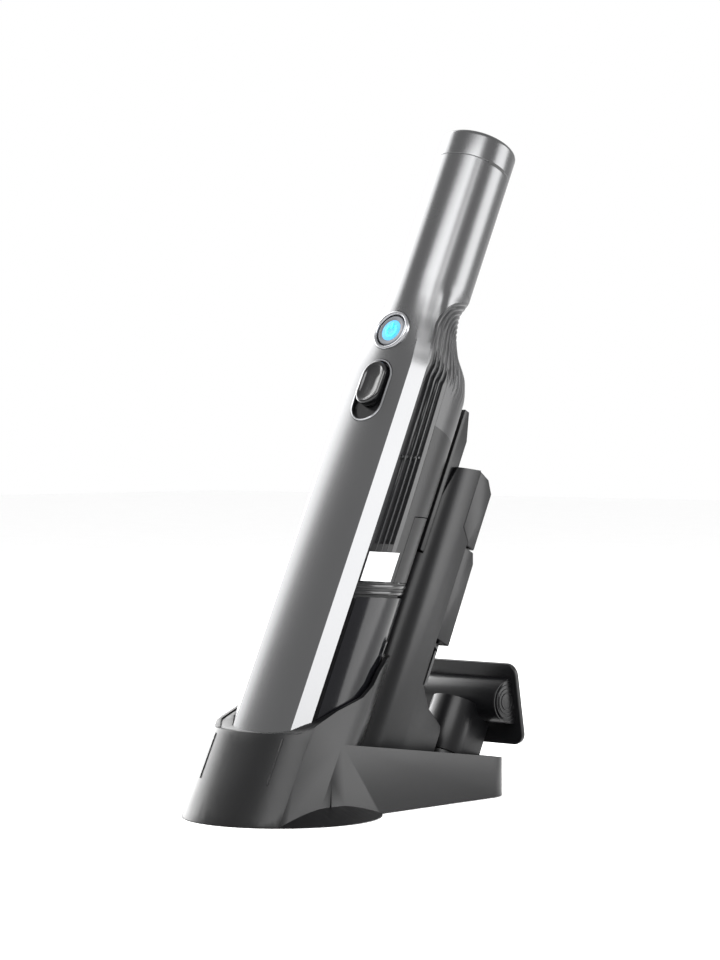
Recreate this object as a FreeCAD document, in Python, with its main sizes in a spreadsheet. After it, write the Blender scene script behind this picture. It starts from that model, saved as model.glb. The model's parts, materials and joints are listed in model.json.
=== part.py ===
import FreeCAD, Part
import math
import os
import re
import Sketcher

# Slim cordless handheld vacuum standing in its charging dock, with a crevice tool and an
# upholstery tool on the dock's two posts.  Millimetres.
# World frame: +Z up, origin on the table under the centre of the dock's round foot, the
# vacuum's buttons face -Y and it leans back towards +Y.
# Leaning frame: +Z along the vacuum from the nozzle tip to the handle's end, -Y out of the
# front.  The vacuum, both tools and their posts are drawn in it.

V = FreeCAD.Vector

SIZES = {
    # attitude and place of the vacuum in the dock
    "lean": 26.5, "tip_y": -7.9, "tip_z": 21.8,
    # outer form of the vacuum
    "handle_r": 22.2, "body_half": 33.0, "body_rear": 39.4, "grip_half": 30.8, "grip_rear": 40.0,
    "notch_rear": 18.6, "facet_in_x": 21.5, "facet_in_y": 19.5, "facet_out_x": 28.7,
    "facet_out_y": 13.6, "wall": 2.4, "fit": 0.1, "seam_slope": 0.414,
    "shoulder_z": 10.0, "shell_low_z": 12.0, "cup_floor_z": 30.0, "cup_top_z": 108.0, "housing_z": 117.0,
    "taper_z": 150.0, "grip_z": 240.0, "neck_z": 300.0, "cap_z": 378.0, "end_z": 395.0,
    "cup_wall": 2.2, "seal_thick": 1.5, "panel_top_z": 157.0, "panel_y": 10.0, "grip_low_z": 215.0,
    "vent_low_z": 136.0, "vent_back_y": 3.5, "cap_round": 3.0, "spine_half": 3.5,
    # controls
    "power_z": 262.5, "bezel_r": 12.2, "power_r": 9.3, "slide_z": 224.5, "slot_half": 10.0,
    "slot_len": 36.0, "rim_width": 1.6, "pad_half": 8.4, "pad_len": 27.0, "pad_up": 3.0,
    "proud": 0.8, "latch_low_z": 109.0,
    # motor group
    "motor_y": 9.5, "shroud_r": 25.5, "shroud_wall": 1.8, "shroud_low_z": 132.0,
    "shroud_top_z": 197.0, "can_r": 17.5, "can_wall": 1.2, "can_low_z": 150.0, "can_top_z": 191.0,
    "shaft_r": 2.0, "run_gap": 0.05, "bearing_r": 5.0, "bearing_len": 5.0, "core_r": 9.0,
    "core_len": 24.0, "fan_r": 21.5, "fan_z": 134.0, "fan_len": 9.0,
    # battery and electronics
    "cell_r": 9.0, "cell_len": 65.0, "cell_z": 304.0, "board_half": 12.0, "board_y": -9.0,
    "board_thick": 1.6, "board_low_z": 204.0, "board_len": 84.0,
    # inlet, cup and filter
    "inlet_half": 15.0, "inlet_depth": 14.0, "inlet_wall": 2.0, "inlet_top_z": 72.0,
    "flap_thick": 1.6, "hinge_r": 1.0, "filter_r": 20.8, "filter_low_z": 97.0,
    "filter_top_z": 125.0, "frame_wall": 1.6,
    # dock
    "foot_r": 55.0, "dock_half": 36.5, "dock_wall": 2.6, "rim_r": 40.0, "rim_y": 34.0,
    "loft_top_z": 92.0, "rim_front_z": 48.0, "tray_front_z": 41.9, "tray_rear_z": 21.7,
    "tray_rear_y": 156.0, "tray_round": 18.0, "tray_rake": 0.12, "skirt_top_r": 37.5, "skirt_top_z": 7.6,
    "ground_gap": 0.6, "base_thick": 1.4, "base_z": 0.8, "base_r": 48.0,
    "seat_gap": 0.4, "floor_z": 12.8, "floor_thick": 2.0, "jack_r": 4.3, "jack_bore_r": 2.75,
    "jack_z": 8.2, "jack_len": 12.0, "pin_r": 1.5, "pin_x": 8.0, "pin_y": 28.0,
    # crevice tool
    "crevice_nose_y": 43.4, "crevice_r": 16.0, "crevice_back_y": 75.5, "crevice_low_z": 30.0,
    "crevice_top_z": 218.0, "tool_wall": 2.2, "crevice_tip_z": 246.0, "tip_half": 11.0, "tip_wall": 1.2,
    "tip_back_y": 54.5, "post_gap": 0.8, "crevice_post": 48.0, "neck_post": 18.0,
    "collar_lip": 0.8, "rest_gap": 0.1, "brush_gap": 0.4, "brush_back_y": 87.0,
    "brush_split_z": 173.0, "comb_top_z": 116.0, "comb_low_z": 90.0,
    # upholstery tool
    "neck_r": 15.0, "neck_nose_y": 111.6, "neck_back_y": 141.3, "neck_low_z": 64.0,
    "neck_top_z": 96.0, "head_y": 160.0, "head_z": 54.0, "head_r": 13.5, "head_half": 32.0,
    "mouth_half": 36.0, "mouth_tall": 48.0, "mouth_thick": 3.0, "mouth_tilt": 10.0,
    "mouth_round": 7.0, "lint_thick": 1.6,
}

doc = FreeCAD.newDocument("handheld_vacuum")
sheet = doc.addObject("Spreadsheet::Sheet", "dims")
for row, (alias, number) in enumerate(SIZES.items(), start=1):
    sheet.set("A%d" % row, alias)
    sheet.set("B%d" % row, str(number))
    sheet.setAlias("B%d" % row, alias)
doc.recompute()

PLACED = "placement(vector(%s; %s; %s); rotation(vector(%s); %s))"
LEANING = PLACED % (0, "tip_y", "tip_z", "1; 0; 0", "-lean")
MOUTH = PLACED % (0, "head_y + mouth_thick", "head_z - 2", "1; 0; 0", "mouth_tilt")
UPRIGHT = PLACED % (0, 0, 0, "1; 0; 0", 0)
nodes = {}
places = {}


def bound(text):
    """A formula in the sheet's aliases, as FreeCAD wants it."""
    return re.sub(r"[a-z][a-z_]+", lambda m: "dims." + m.group() if m.group() in SIZES else m.group(),
                  str(text))


def number(text):
    """The present value of a formula in the sheet's aliases."""
    return float(sheet.evalExpression(str(text)))


def put(thing, x=0, y=0, z=0, turn=None, angle=0):
    """Place an object by formulas, turned about the x, y or z axis."""
    axis = {None: "0; 0; 1", "x": "1; 0; 0", "y": "0; 1; 0", "z": "0; 0; 1"}[turn]
    text = PLACED % (x, y, z, axis, angle)
    thing.setExpression("Placement", bound(text))
    places[thing.Name] = text
    return thing


def box(name, low, high):
    """A box between two corners given as formulas."""
    block = doc.addObject("Part::Box", name)
    for side, a, b in zip(("Length", "Width", "Height"), low, high):
        block.setExpression(side, bound("(%s) - (%s)" % (b, a)))
    return put(block, *low)


def rod(name, radius, length, x=0, y=0, z=0, turn=None, angle=0):
    """A cylinder along +Z, or turned."""
    cylinder = doc.addObject("Part::Cylinder", name)
    cylinder.setExpression("Radius", bound(radius))
    cylinder.setExpression("Height", bound(length))
    return put(cylinder, x, y, z, turn, angle)


def cut(name, base, *tools):
    """base without the tools."""
    result = doc.addObject("Part::Cut", name)
    result.Base = base
    result.Tool = tools[0] if len(tools) == 1 else join(name + "_tools", *tools)
    return result


def join(name, *parts):
    """Several solids in one shape."""
    result = doc.addObject("Part::MultiFuse", name)
    result.Shapes = list(parts)
    return result


def both(name, *parts):
    """What all the parts have in common."""
    result = doc.addObject("Part::MultiCommon", name)
    result.Shapes = list(parts)
    return result


def tube(name, outer, inner, length, x=0, y=0, z=0, turn=None, angle=0):
    """A ring or pipe."""
    skin = rod(name + "_skin", outer, length, x, y, z, turn, angle)
    bore = rod(name + "_bore", inner, length, x, y, z, turn, angle)
    return cut(name, skin, bore)


def outline(body, role, points):
    """A closed polygon sketch with every corner dimensioned from the origin by a formula."""
    sketch = body.newObject("Sketcher::SketchObject", body.Name + "_sketch")
    plane = [item for item in body.Origin.OriginFeatures if item.Role == role][0]
    sketch.AttachmentSupport = [(plane, "")]
    sketch.MapMode = "FlatFace"
    corners = [V(number(x), number(y), 0) for x, y in points]
    for start, end in zip(corners, corners[1:] + corners[:1]):
        sketch.addGeometry(Part.LineSegment(start, end))
    for index, (x, y) in enumerate(points):
        after = (index + 1) % len(points)
        sketch.addConstraint(Sketcher.Constraint("Coincident", index, 2, after, 1))
        for kind, formula in (("DistanceX", x), ("DistanceY", y)):
            made = sketch.addConstraint(
                Sketcher.Constraint(kind, -1, 1, index, 1, number(formula)))
            sketch.setExpression("Constraints[%d]" % made, bound(formula))
    return sketch


def slab(name, points, width):
    """A side view in the YZ plane, as thick as width, symmetric about the middle plane."""
    body = doc.addObject("PartDesign::Body", name)
    pad = body.newObject("PartDesign::Pad", name + "_pad")
    pad.Profile = outline(body, "YZ_Plane", points)
    pad.SideType = "Symmetric"
    pad.setExpression("Length", bound(width))
    return body


def plan(name, points, height, corner=None):
    """A plan view in the XY plane, raised by height; upright edges may be rounded."""
    body = doc.addObject("PartDesign::Body", name)
    pad = body.newObject("PartDesign::Pad", name + "_pad")
    pad.Profile = outline(body, "XY_Plane", points)
    pad.setExpression("Length", bound(height))
    if corner:
        doc.recompute()
        edges = ["Edge%d" % (place + 1) for place, edge in enumerate(pad.Shape.Edges)
                 if upright(edge) and corner[1](edge.Vertexes[0].Point)]
        fillet = body.newObject("PartDesign::Fillet", name + "_round")
        fillet.Base = (pad, edges)
        fillet.setExpression("Radius", bound(corner[0]))
    return body


def upright(edge):
    ends = [vertex.Point for vertex in edge.Vertexes]
    return len(ends) == 2 and math.hypot(ends[0].x - ends[1].x, ends[0].y - ends[1].y) < 1e-6


def turned(name, points):
    """A profile of radius and height, turned about the Z axis."""
    body = doc.addObject("PartDesign::Body", name)
    spin = body.newObject("PartDesign::Revolution", name + "_turn")
    sketch = outline(body, "XZ_Plane", points)
    spin.Profile = sketch
    spin.ReferenceAxis = (sketch, ["V_Axis"])
    spin.Angle = 360
    return put(body)


def stadium(name, half, length, y, depth, z):
    """A slot shape in the front face: its centre at height z, running from y back by depth."""
    bar = box(name + "_bar", ("-(%s)" % half, y, "%s - (%s)/2 + (%s)" % (z, length, half)),
              (half, "%s + %s" % (y, depth), "%s + (%s)/2 - (%s)" % (z, length, half)))
    low = rod(name + "_low", half, depth, 0, y, "%s - (%s)/2 + (%s)" % (z, length, half), "x", -90)
    top = rod(name + "_top", half, depth, 0, y, "%s + (%s)/2 - (%s)" % (z, length, half), "x", -90)
    return join(name, bar, low, top)


def node(label, thing, frame=UPRIGHT):
    """Name a finished piece and place it in the world."""
    thing.Label = label
    nodes[label] = thing
    own = places.get(thing.Name)
    text = frame if own is None else "%s * %s" % (frame, own)
    thing.setExpression("Placement", bound(text))
    return thing


# ---------------------------------------------------------------- outer form of the vacuum

def section(z, half, rear, roundness, inset):
    """One cross section of the vacuum: crowned front, two bevels, round sides and back."""
    front = number("handle_r") - inset
    keep = 1 - roundness
    r = number("handle_r")
    x1 = keep * number("facet_in_x") + roundness * r * math.sin(math.radians(40)) - 0.45 * inset
    y1 = keep * number("facet_in_y") + roundness * r * math.cos(math.radians(40)) - 0.9 * inset
    x2 = keep * number("facet_out_x") + roundness * r * math.sin(math.radians(58)) - 0.85 * inset
    y2 = keep * number("facet_out_y") + roundness * r * math.cos(math.radians(58)) - 0.45 * inset
    half = half - inset
    rear = rear - inset
    middle = rear - half
    bend = ((half - x2) ** 2 + (y2 + middle) ** 2) / (2 * (half - x2))
    lift = math.asin((y2 + middle) / bend) / 2
    side = V(half - bend + bend * math.cos(lift), middle - bend * math.sin(lift), z)
    back = V(half * math.sqrt(0.5), middle + half * math.sqrt(0.5), z)
    mirrored = [V(-p.x, p.y, z) for p in (side, back)]
    corner = V(x1, -y1, z)
    edge = V(x2, -y2, z)
    widest = V(half, middle, z)
    rearmost = V(0, rear, z)
    left = [V(-p.x, p.y, z) for p in (corner, edge, widest)]
    return Part.Wire([
        Part.Arc(left[0], V(0, -front, z), corner).toShape(),
        Part.makeLine(corner, edge),
        Part.Arc(edge, side, widest).toShape(),
        Part.Arc(widest, back, rearmost).toShape(),
        Part.Arc(rearmost, mirrored[1], left[2]).toShape(),
        Part.Arc(left[2], mirrored[0], left[1]).toShape(),
        Part.makeLine(left[1], left[0])])


def stations(inset):
    """Sections from the cup's floor to the handle's end."""
    half, grip, r = number("body_half"), number("grip_half"), number("handle_r")
    rear, bulge, notch = number("body_rear"), number("grip_rear"), number("notch_rear")
    low, taper, top = number("shoulder_z"), number("taper_z"), number("grip_z")
    neck, cap = number("neck_z"), number("cap_z")
    step = (neck - top) / 5
    rows = [(low, half, rear, 0), (taper, half, rear, 0), (top, grip, bulge, 0.1),
            (top + step, grip - 1.7, bulge - 3, 0.3),
            (top + 2 * step, r + 4.6, notch + 7, 0.55),
            (top + 3 * step, r + 2.4, notch + 1.5, 0.8),
            (top + 4 * step, r + 0.5, notch, 0.95),
            (neck, r, r, 1), (cap, r, r, 1)]
    return [section(z, h, b, c, inset) for z, h, b, c in rows]


def form(name, inset):
    """The whole outer form, or the same form drawn inside it by inset."""
    piece = doc.addObject("Part::Feature", name)
    piece.Shape = Part.makeLoft(stations(inset), True, True)
    return piece


def sloped(y, z):
    """Height of a seam at y: seams rise towards the back, so they lie nearly level when docked."""
    return "%s + (%s) * seam_slope" % (z, y)


outer = form("outer_form", 0)
inner = form("inner_form", number("wall"))
lining = form("lining_form", number("wall + fit"))
cup_void = form("cup_void", number("wall + fit + cup_wall"))
skin = cut("skin", outer, inner)

CHEEK = "-facet_out_y"
ARCH = [(CHEEK, "grip_z"), (-11.5, "grip_z + 10"), (-12, "neck_z - 30"), (-11, "neck_z - 24"),
        (-8, "neck_z - 17"), (-3, "neck_z - 11"), (4, "neck_z - 6.5"), (13, "neck_z - 2.5"),
        (24, "neck_z")]


def vacuum_casing():
    """Metallic front and handle, dark rear pieces, vents, grip and label."""
    front_view = ([(-45, "shell_low_z"), (CHEEK, "shell_low_z")] + ARCH
                  + [(45, "neck_z"), (45, "cap_z"), (-45, "cap_z")])
    front = both("front_part", skin, slab("front_view", front_view, 90))
    spine_box = box("spine_box", ("-spine_half", 10, "neck_z"), ("spine_half", 30, "cap_z"))
    power_hole = rod("power_hole", "bezel_r", 20, 0, -30, "power_z", "x", -90)
    slide_hole = stadium("slide_hole", "slot_half + rim_width", "slot_len + 2*rim_width", -30, 20,
                         "slide_z")
    node("front_shell", cut("front_shell_cut", front, spine_box, power_hole, slide_hole), LEANING)
    node("handle_spine", both("handle_spine_part", skin, spine_box), LEANING)

    rear_view = ([(CHEEK, sloped(CHEEK, "housing_z")), (45, sloped(45, "housing_z")),
                  (45, "neck_z")] + ARCH[::-1])
    vent_view = [(CHEEK, sloped(CHEEK, "vent_low_z")),
                 ("vent_back_y", sloped("vent_back_y", "vent_low_z")),
                 ("vent_back_y", "grip_z + 10"), ARCH[1], ARCH[0]]
    grip_view = ([("vent_back_y", "grip_low_z"), (45, "grip_low_z"), (45, "neck_z")]
                 + ARCH[:0:-1] + [("vent_back_y", "grip_z + 10")])
    panel_view = [("panel_y", sloped("panel_y", "housing_z")),
                  (45, sloped(45, "housing_z")), (45, sloped(45, "panel_top_z")),
                  ("panel_y", sloped("panel_y", "panel_top_z"))]
    vent_slab = slab("vent_view", vent_view, 90)
    grip_slab = slab("grip_view", grip_view, 90)
    panel_slab = slab("panel_view", panel_view, 90)
    rear = both("rear_part", skin, slab("rear_view", rear_view, 90))
    node("rear_housing", cut("rear_housing_cut", rear, vent_slab, grip_slab, panel_slab), LEANING)
    node("rear_grip", both("rear_grip_part", skin, grip_slab), LEANING)
    node("rear_panel", both("rear_panel_part", skin, panel_slab), LEANING)

    vents = both("vents_part", skin, vent_slab)
    slots = []
    for index in range(4):
        y = "%s + 3 + %d * 3.6" % (CHEEK, index)
        slots.append(box("vent_slot_%d" % index, (-45, y, "vent_low_z + 8"),
                         (45, y + " + 1.6", "grip_z - 4")))
    slotted = cut("vents_slotted", vents, *slots)
    right_side = box("right_side", (0, -45, 0), (45, 45, "end_z"))
    left_side = box("left_side", (-45, -45, 0), (0, 45, "end_z"))
    node("vent_grille_right", both("vent_right", slotted, right_side), LEANING)
    node("vent_grille_left", both("vent_left", slotted, left_side), LEANING)

    label_form = form("label_form", -0.4)
    label_view = [(CHEEK + " + 1", sloped(CHEEK, "housing_z - 2")), (8.6, sloped(8.6, "housing_z - 2")),
                  (8.6, sloped(8.6, "housing_z + 18")),
                  (CHEEK + " + 1", sloped(CHEEK, "housing_z + 18"))]
    label = cut("label_skin", label_form, outer)
    node("side_label", both("label_part", label, slab("label_view", label_view, 90),
                            box("label_side", (20, -45, 0), (45, 45, "end_z"))), LEANING)

    cap = turned("end_cap_body", [
        (0, "end_z"), ("handle_r - cap_round", "end_z"), ("handle_r", "end_z - cap_round"),
        ("handle_r", "cap_z"), ("handle_r - wall", "cap_z"),
        ("handle_r - wall", "end_z - cap_round - 1"), (0, "end_z - cap_round - 1")])
    node("end_cap", cap, LEANING)


def controls():
    """Power button, release slider and their rims."""
    front = "-handle_r"
    bezel = tube("power_bezel_ring", "bezel_r", "power_r + 0.3", 4.4, 0, front + " - proud",
                 "power_z", "x", -90)
    node("power_bezel", bezel, LEANING)
    face = rod("power_face", "power_r", 3.2, 0, front + " + 0.2", "power_z", "x", -90)
    stem = rod("power_stem", 3, 7.6, 0, front + " + 3.4", "power_z", "x", -90)
    node("power_button", join("power_button_part", face, stem), LEANING)
    node("power_switch", box("power_switch_box", (-2.7, "board_y - 1", "power_z - 2.7"),
                             (2.7, "board_y", "power_z + 2.7")), LEANING)
    node("power_light", tube("power_light_ring", 7, 4, 1.0, 0, "board_y - 1", "power_z", "x", -90),
         LEANING)
    node("dome_spring", tube("dome_spring_part", 4.6, 3.1, 0.4, 0, "board_y - 1.6", "power_z",
                             "x", -90), LEANING)
    rim_out = stadium("rim_out", "slot_half + rim_width", "slot_len + 2*rim_width",
                      front + " - proud", "proud + wall", "slide_z")
    rim_in = stadium("rim_in", "slot_half", "slot_len", front + " - 2", 8, "slide_z")
    node("slider_rim", cut("slider_rim_cut", rim_out, rim_in), LEANING)
    pad_z = "slide_z + slot_len/2 - 0.6 - pad_len/2"
    pad = stadium("slide_pad", "pad_half", "pad_len", front + " - pad_up", "pad_up + wall + 1",
                  pad_z)
    flange = box("slide_flange", (-8, front + " + wall + 0.8", "slide_z - 19"),
                 (8, front + " + wall + 2.6", "slide_z + 21"))
    node("release_slider", join("release_slider_part", pad, flange), LEANING)
    node("latch_rod", box("latch_rod_box", (-4, front + " + wall + 0.8", "latch_low_z"),
                          (4, front + " + wall + 2.6", "slide_z - 19")), LEANING)
    node("return_spring", box("return_spring_leaf", (-6, front + " + wall + 3", "slide_z - 18"),
                              (6, front + " + wall + 3.4", "slide_z + 12")), LEANING)


def electronics():
    """Board, cells and their carrier in the neck and handle."""
    board = box("board", ("-board_half", "board_y", "board_low_z"),
                ("board_half", "board_y + board_thick", "board_low_z + board_len"))
    node("control_board", board, LEANING)
    cells = []
    for index in range(3):
        angle = math.radians(90 + 120 * index)
        reach = "(cell_r + 0.1) * 1.1547"
        cells.append(rod("cell_%d" % index, "cell_r", "cell_len",
                         "%s * %.6f" % (reach, math.cos(angle)),
                         "%s * %.6f" % (reach, math.sin(angle)), "cell_z"))
    node("battery_cells", join("battery_cells_group", *cells), LEANING)
    plates = [rod("carrier_low", "handle_r - wall - 0.2", 1.6, 0, 0, "cell_z - 1.8"),
              rod("carrier_top", "handle_r - wall - 0.2", 1.6, 0, 0, "cell_z + cell_len + 0.2")]
    node("battery_carrier", join("battery_carrier_group", *plates), LEANING)


def motor_group():
    """Shroud, stator can, rotor with its fan, bearings and rubber mounts."""
    y = "motor_y"
    length = "shroud_top_z - shroud_low_z"
    shroud = tube("motor_shroud_tube", "shroud_r", "shroud_r - shroud_wall", length, 0, y,
                  "shroud_low_z")
    node("motor_shroud", shroud, LEANING)
    body = rod("can_body", "can_r", "can_top_z - can_low_z", 0, y, "can_low_z")
    room = rod("can_room", "can_r - can_wall", "can_top_z - can_low_z - 2*bearing_len", 0, y,
               "can_low_z + bearing_len")
    seat = rod("can_seat", "bearing_r", "can_top_z - can_low_z", 0, y, "can_low_z")
    node("motor_can", cut("motor_can_cut", body, room, seat), LEANING)
    rings = [tube("bearing_low", "bearing_r", "shaft_r + run_gap", "bearing_len", 0, y, "can_low_z"),
             tube("bearing_top", "bearing_r", "shaft_r + run_gap", "bearing_len", 0, y,
                  "can_top_z - bearing_len")]
    node("motor_bearings", join("motor_bearings_group", *rings), LEANING)
    core_z = "(can_low_z + can_top_z)/2 - core_len/2"
    node("stator", tube("stator_ring", "can_r - can_wall", "core_r + 0.6", "core_len", 0, y,
                        core_z), LEANING)
    shaft = rod("rotor_shaft", "shaft_r", "can_top_z - fan_z + 6", 0, y, "fan_z - 2")
    core = rod("rotor_core", "core_r", "core_len", 0, y, core_z)
    node("motor_rotor", join("motor_rotor_part", shaft, core), LEANING)
    disc = rod("fan_disc", "fan_r", 1.4, 0, y, "fan_z")
    hub = rod("fan_hub", 5, "fan_len", 0, y, "fan_z")
    blades = []
    for index in range(9):
        blade = box("fan_blade_%d" % index, (4, -0.6, "fan_z"), ("fan_r", 0.6, "fan_z + fan_len"))
        swing = "placement(vector(0; motor_y; 0); rotation(vector(0; 0; 1); %d))" % (40 * index)
        blade.setExpression("Placement", bound(swing + " * " + places[blade.Name]))
        blades.append(blade)
    wheel = join("fan_wheel", disc, hub, *blades)
    bore = rod("fan_bore", "shaft_r", "fan_len", 0, y, "fan_z")
    node("fan_impeller", cut("fan_impeller_cut", wheel, bore), LEANING)
    mounts = [tube("mount_low", "shroud_r - shroud_wall", "can_r", 6, 0, y, "can_low_z"),
              tube("mount_top", "shroud_r - shroud_wall", "can_r", 6, 0, y, "can_top_z - 6")]
    node("motor_mounts", join("motor_mounts_group", *mounts), LEANING)


def cup_group():
    """Clear dust cup, seal, bulkhead, filter, inlet tube with its flap, and the nozzle."""
    top_front = sloped(CHEEK, "cup_top_z")
    rear_view = slab("cup_rear_view", [
        (CHEEK, "cup_floor_z"), (45, "cup_floor_z"), (45, sloped(45, "cup_top_z")),
        (CHEEK, top_front)], 90)
    front_view = slab("cup_front_view", [
        (-45, "cup_floor_z"), (CHEEK, "cup_floor_z"), (CHEEK, top_front),
        (-45, sloped(-45, "cup_top_z"))], 90)
    room_view = slab("cup_room_view", [
        (-45, "cup_floor_z + 3"), (45, "cup_floor_z + 3"), (45, sloped(45, "cup_top_z + 1")),
        (-45, sloped(-45, "cup_top_z + 1"))], 90)
    walls = join("cup_walls", both("cup_rear", outer, rear_view),
                 both("cup_front", lining, front_view))
    room = both("cup_room", cup_void, room_view)
    duct = "inlet_depth/2 + inlet_wall"
    tube_hole = box("cup_duct_hole", ("-inlet_half - inlet_wall", "-(%s)" % duct, "cup_floor_z - 1"),
                    ("inlet_half + inlet_wall", duct, "cup_floor_z + 4"))
    node("dust_cup", cut("dust_cup_cut", walls, room, tube_hole), LEANING)

    seal_view = slab("seal_view", [
        (-45, sloped(-45, "cup_top_z")), (45, sloped(45, "cup_top_z")),
        (45, sloped(45, "cup_top_z + seal_thick")), (-45, sloped(-45, "cup_top_z + seal_thick"))],
        90)
    seal = both("seal_part", form("seal_form", number("wall + fit + 0.2")), seal_view)
    node("cup_seal", cut("cup_seal_cut", seal, cup_void), LEANING)

    head_rear = slab("bulkhead_rear_view", [
        (CHEEK, sloped(CHEEK, "cup_top_z + seal_thick")),
        (45, sloped(45, "cup_top_z + seal_thick")), (45, sloped(45, "housing_z")),
        (CHEEK, sloped(CHEEK, "housing_z"))], 90)
    head_front = slab("bulkhead_front_view", [
        (-45, sloped(-45, "cup_top_z + seal_thick")),
        (CHEEK, sloped(CHEEK, "cup_top_z + seal_thick")), (CHEEK, sloped(CHEEK, "housing_z")),
        (-45, sloped(-45, "housing_z"))], 90)
    plug = join("bulkhead_plug", both("bulkhead_rear", form("collar_form", 0.6), head_rear),
                both("bulkhead_front", lining, head_front))
    bore = rod("bulkhead_bore", "filter_r", 60, 0, "motor_y - 2", 90)
    rod_way = box("bulkhead_rod_way", (-4.6, -30, 90), (4.6, "-handle_r + wall + 2.8", 140))
    node("bulkhead", cut("bulkhead_cut", plug, bore, rod_way, *screw_shanks("bulkhead")),
         LEANING)
    node("bulkhead_screws", join("bulkhead_screws_group", *screw_shanks("screw")), LEANING)
    node("filter_frame", tube("filter_frame_ring", "filter_r", "filter_r - frame_wall",
                              "filter_top_z - filter_low_z", 0, "motor_y - 2", "filter_low_z"),
         LEANING)
    node("dust_filter", rod("dust_filter_disc", "filter_r - frame_wall",
                            "filter_top_z - filter_low_z - 2", 0, "motor_y - 2",
                            "filter_low_z + 1"), LEANING)

    pipe = box("inlet_pipe", ("-inlet_half - inlet_wall", "-(%s)" % duct, "cup_floor_z"),
               ("inlet_half + inlet_wall", duct, "inlet_top_z"))
    way = box("inlet_way", ("-inlet_half", "-inlet_depth/2", "cup_floor_z - 1"),
              ("inlet_half", "inlet_depth/2", "inlet_top_z + 1"))
    hinge_y = "-(%s) - hinge_r - 0.6" % duct
    hinge_z = "inlet_top_z + 0.4 + flap_thick/2"
    ears = [box("hinge_ear_%d" % side, (x, hinge_y + " - 2", "inlet_top_z - 6"),
                (x + 3, "-(%s)" % duct, "inlet_top_z + 3"))
            for side, x in enumerate((-17, 14))]
    pin_hole = rod("hinge_hole", "hinge_r", 40, -20, hinge_y, hinge_z, "y", 90)
    node("inlet_tube", cut("inlet_tube_cut", join("inlet_tube_part", pipe, *ears), way, pin_hole),
         LEANING)
    node("flap_pin", rod("flap_pin_rod", "hinge_r", 34, -17, hinge_y, hinge_z, "y", 90), LEANING)
    lid = box("flap_lid", (-13, hinge_y + " + 0.2", "inlet_top_z + 0.4"),
              (13, duct, "inlet_top_z + 0.4 + flap_thick"))
    wide_lid = box("flap_wide_lid", ("-inlet_half - 1", "-(%s) + 1.6" % duct, "inlet_top_z + 0.4"),
                   ("inlet_half + 1", duct, "inlet_top_z + 0.4 + flap_thick"))
    knuckle = rod("flap_knuckle", "hinge_r + 1", 26, -13, hinge_y, hinge_z, "y", 90)
    eye = rod("flap_eye", "hinge_r + run_gap", 40, -20, hinge_y, hinge_z, "y", 90)
    node("inlet_flap", cut("inlet_flap_cut", join("inlet_flap_part", lid, wide_lid, knuckle), eye),
         LEANING)

    flange_rear = slab("flange_rear_view", [
        (CHEEK, "shoulder_z"), (45, "shoulder_z"), (45, "cup_floor_z"), (CHEEK, "cup_floor_z")], 90)
    flange_front = slab("flange_front_view", [
        (-45, "shell_low_z"), (CHEEK, "shell_low_z"), (CHEEK, "cup_floor_z"), (-45, "cup_floor_z")],
        90)
    flange = join("nozzle_flange", both("flange_rear", form("flange_form", 0.4), flange_rear),
                  both("flange_front", lining, flange_front))
    neck = plan("nozzle_neck", [(-22, -13), (22, -13), (22, 17), (-22, 17)], "shoulder_z",
                ("5", lambda point: True))
    mouth = box("nozzle_mouth", ("-inlet_half", "-inlet_depth/2", -1),
                ("inlet_half", "inlet_depth/2", "cup_floor_z + 1"))
    pad_wells = [rod("pad_well_%d" % side, 3, 0.8, "%d * pin_x" % side, "pin_y", "shoulder_z")
                 for side in (-1, 1)]
    node("nozzle", cut("nozzle_cut", join("nozzle_part", flange, neck), mouth, *pad_wells), LEANING)
    pads = [rod("contact_pad_%d" % side, 3, 0.8, "%d * pin_x" % side, "pin_y", "shoulder_z")
            for side in (-1, 1)]
    node("charge_contacts", join("charge_contacts_group", *pads), LEANING)


def screw_shanks(name):
    """Four screws that hold the bulkhead, along the vacuum."""
    return [rod("%s_shank_%d_%d" % (name, side, place), 1.3, 7.5, side * 25.5, y,
                "%s - 7.5 + 0.6" % sloped(y, "housing_z"))
            for side in (-1, 1) for place, y in enumerate((-4, 20))]


# ---------------------------------------------------------------- dock

def ring_wire(z, y, r, squareness):
    """A closed outline between a circle and a rounded square, centred at y."""
    points = []
    for index in range(24):
        angle = math.radians(15 * index)
        c, s = math.cos(angle), math.sin(angle)
        reach = (abs(c) ** squareness + abs(s) ** squareness) ** (-1.0 / squareness)
        points.append(V(r * reach * c, y + r * reach * s, z))
    curve = Part.BSplineCurve()
    curve.interpolate(points, PeriodicFlag=True)
    return Part.Wire([curve.toShape()])


def boot_form(name, inset):
    """The leaning boot: a round foot that rises into a squarer rim."""
    top, foot, rim, shift = (number(k) for k in ("loft_top_z", "foot_r", "rim_r", "rim_y"))
    low = number("ground_gap")
    if inset:
        low = -1.0
    rows = [(low, 0.0, foot, 2.0), (top / 2, shift / 2, (foot + rim) / 2, 2.3),
            (top, shift, rim, 2.6)]
    piece = doc.addObject("Part::Feature", name)
    piece.Shape = Part.makeLoft([ring_wire(z, y, r - inset, k) for z, y, r, k in rows], True, False)
    return piece


RIM = [(-20, "rim_front_z"), (-10, "rim_front_z + 5"), (5, "rim_front_z + 11"),
       (26, "rim_front_z + 17"), (36, "rim_front_z + 23"), (42, "rim_front_z + 30"),
       (52, "rim_front_z + 37"), (80, "rim_front_z + 37")]


def rim_view(name, drop):
    """Everything below the rim's side profile."""
    points = [(-70, -5), (80, -5)]
    points += [(y, "%s - %s" % (z, drop)) for y, z in RIM[::-1]]
    return slab(name, points + [(-70, "rim_front_z - %s" % drop)], 120)


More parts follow.
